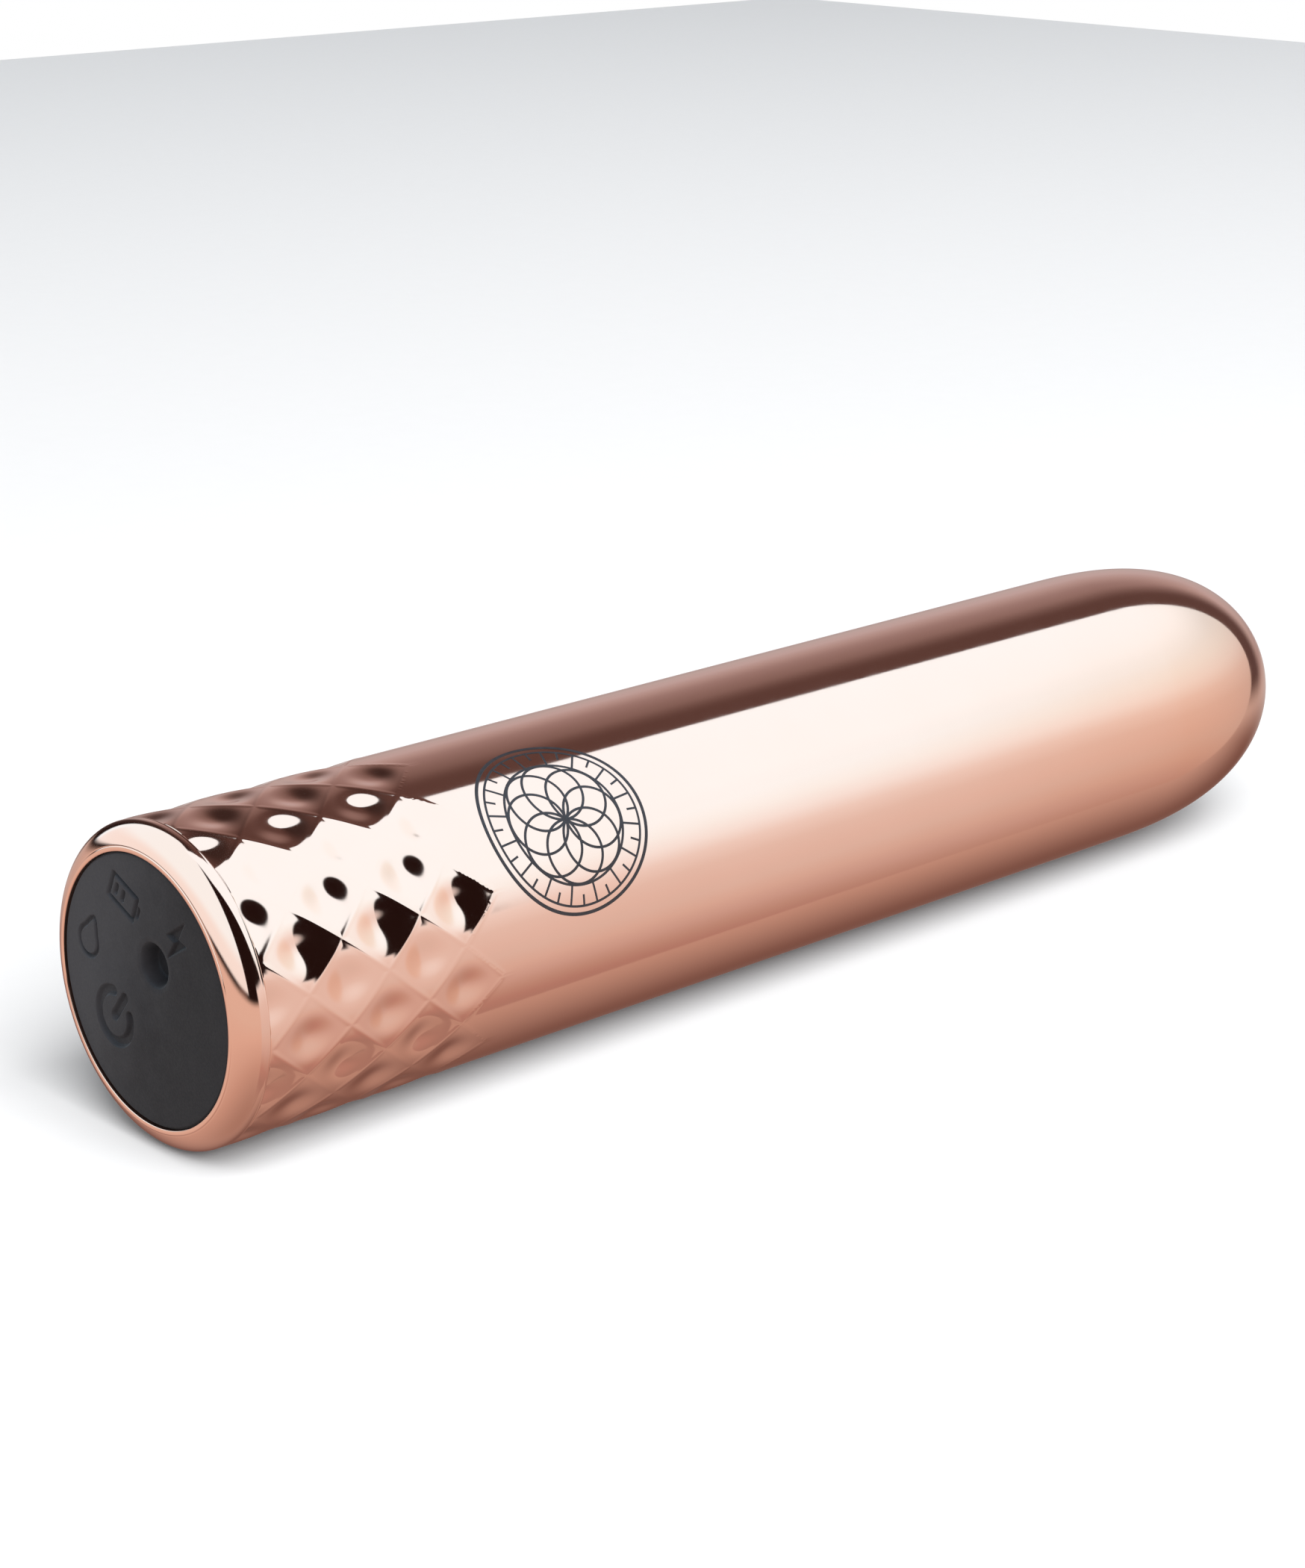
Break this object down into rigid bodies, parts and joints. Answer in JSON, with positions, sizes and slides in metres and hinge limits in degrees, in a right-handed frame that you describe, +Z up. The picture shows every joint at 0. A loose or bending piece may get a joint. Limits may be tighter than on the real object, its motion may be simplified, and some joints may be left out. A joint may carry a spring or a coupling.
{
  "type": "bullet massager",
  "caption": "Small rechargeable bullet massager: plated round-nosed tube with a band of diamond scoops, soft end cap with a push button and a charging hole, motor with eccentric weight inside.",
  "frame": {"origin": "bottom centre of the bounding box, on the surface the tube lies on", "axes": "+X along the tube from the base end to the nose, +Z up, and the side that the main view looks at is -Y"},
  "size_m": [0.1, 0.02, 0.02],
  "materials": {
    "rose_gold_plate": "mirror rose-gold electroplate on moulded ABS",
    "black_silicone": "matte black silicone skin",
    "button_silicone": "matte black silicone, debossed power symbol",
    "black_abs": "moulded black ABS",
    "grey_abs": "moulded grey ABS",
    "seal_rubber": "red silicone seal",
    "holder_rubber": "grey damping rubber",
    "board_green": "green solder mask over glass-epoxy board",
    "chip_epoxy": "black moulding compound",
    "steel": "plain drawn steel",
    "zinc_screw": "zinc-plated steel",
    "nickel_strip": "nickel strip",
    "brass": "turned brass",
    "copper_wire": "enamelled copper",
    "weight_metal": "sintered heavy alloy",
    "ferrite": "sintered ferrite",
    "cell_wrap": "blue heat-shrink wrap",
    "foam": "soft closed-cell foam",
    "led_lens": "clear epoxy lens",
    "wire_red": "red PVC insulation",
    "wire_black": "black PVC insulation",
    "wire_blue": "blue PVC insulation",
    "carbon_brush": "pressed carbon"
  },
  "bodies": {
    "housing": {"outer_shell": "rose_gold_plate", "silicone_end_cap": "black_silicone", "end_plug": "black_abs", "plug_o_ring": "seal_rubber", "circuit_board": "board_green", "board_spacer_ring": "grey_abs", "tact_switch_body": "chip_epoxy", "tact_switch_cover": "steel", "jack_nozzle": "nickel_strip", "charge_jack_body": "chip_epoxy", "jack_center_pin": "brass", "controller_chip": "chip_epoxy", "charge_chip": "chip_epoxy", "driver_transistor": "chip_epoxy", "flyback_diode": "chip_epoxy", "storage_capacitor": "brass", "status_led": "led_lens", "lower_carrier": "grey_abs", "upper_carrier": "grey_abs", "carrier_screw_1": "zinc_screw", "carrier_screw_2": "zinc_screw", "carrier_screw_3": "zinc_screw", "carrier_screw_4": "zinc_screw", "battery_cell": "cell_wrap", "battery_tab_negative": "nickel_strip", "battery_tab_positive": "nickel_strip", "battery_foam_pad": "foam", "motor_end_cap": "black_abs", "motor_terminal_positive": "nickel_strip", "motor_terminal_negative": "nickel_strip", "motor_can": "steel", "motor_holder_sleeve": "holder_rubber", "motor_magnet_left": "ferrite", "motor_magnet_right": "ferrite", "motor_brush_left": "carbon_brush", "motor_brush_right": "carbon_brush", "motor_bush": "brass", "wire_battery_positive": "wire_red", "wire_battery_negative": "wire_black", "wire_motor_positive": "wire_red", "wire_motor_negative": "wire_blue"},
    "button": {"power_button": "button_silicone"},
    "switch_plunger": {"tact_switch_plunger": "black_abs"},
    "rotor": {"motor_shaft": "steel", "motor_commutator": "copper_wire", "rotor_core": "steel", "rotor_winding_1": "copper_wire", "rotor_winding_2": "copper_wire", "rotor_winding_3": "copper_wire", "eccentric_weight": "weight_metal"}
  },
  "joints": [
    {"name": "button_press", "type": "slide", "parent": "housing", "child": "button", "axis": [1, 0, 0], "range_m": [0, 0.0004], "stiffness_N_per_m": 2000},
    {"name": "switch_travel", "type": "slide", "parent": "housing", "child": "switch_plunger", "axis": [1, 0, 0], "range_m": [0, 0.0002]},
    {"name": "motor_spin", "type": "hinge", "parent": "housing", "child": "rotor", "pos_m": [0.0275, 0, 0.00998], "axis": [1, 0, 0], "continuous": true}
  ],
  "couplings": [
    {"joint": "switch_travel", "follows": "button_press", "ratio": 0.5}
  ]
}
